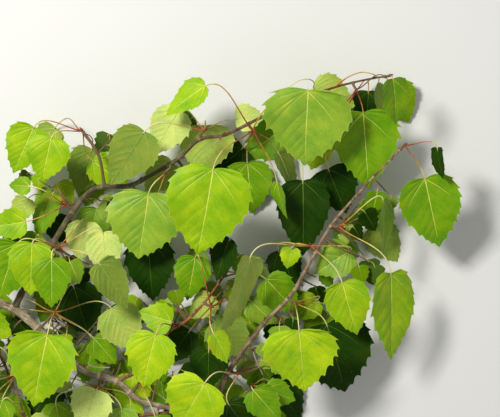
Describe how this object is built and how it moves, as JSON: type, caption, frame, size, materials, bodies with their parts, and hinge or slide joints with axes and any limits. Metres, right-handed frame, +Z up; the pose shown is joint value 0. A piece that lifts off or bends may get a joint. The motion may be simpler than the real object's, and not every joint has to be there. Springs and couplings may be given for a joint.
{
  "type": "leafy poplar branch",
  "caption": "Cut poplar branch lying flat: a stem that forks into slender boughs, with broad toothed leaves on long stalks.",
  "frame": {"origin": "on the ground, under the middle of the branch's box", "axes": "+Z up, +X along the branch's length away from the cut butt, +Y across it towards the upper bough"},
  "size_m": [0.5238, 0.384, 0.1045],
  "materials": {
    "bark": "rough grey-brown bark",
    "foliage": "smooth green leaf"
  },
  "bodies": {
    "root": {"left_bough": "bark", "low_twig": "bark", "main_stem": "bark", "middle_bough": "bark", "right_bough": "bark", "upper_bough": "bark", "foliage_bend": "foliage", "foliage_centre": "foliage", "foliage_centre_red": "foliage", "foliage_centre_tip": "foliage", "foliage_crown_green": "foliage", "foliage_crown_mid": "foliage", "foliage_crown_red": "foliage", "foliage_crown_tip": "foliage", "foliage_foot_tip": "foliage", "foliage_fork": "foliage", "foliage_heel": "foliage", "foliage_inner": "foliage", "foliage_low_stem": "foliage", "foliage_low_twig": "foliage", "foliage_mid_stem": "foliage", "foliage_red_twig": "foliage", "foliage_right_tip": "foliage", "foliage_rise": "foliage", "foliage_rise_high": "foliage", "foliage_rise_mid": "foliage", "foliage_shade": "foliage", "foliage_west": "foliage", "foliage_west_low": "foliage", "foliage_west_tip": "foliage"}
  },
  "joints": []
}
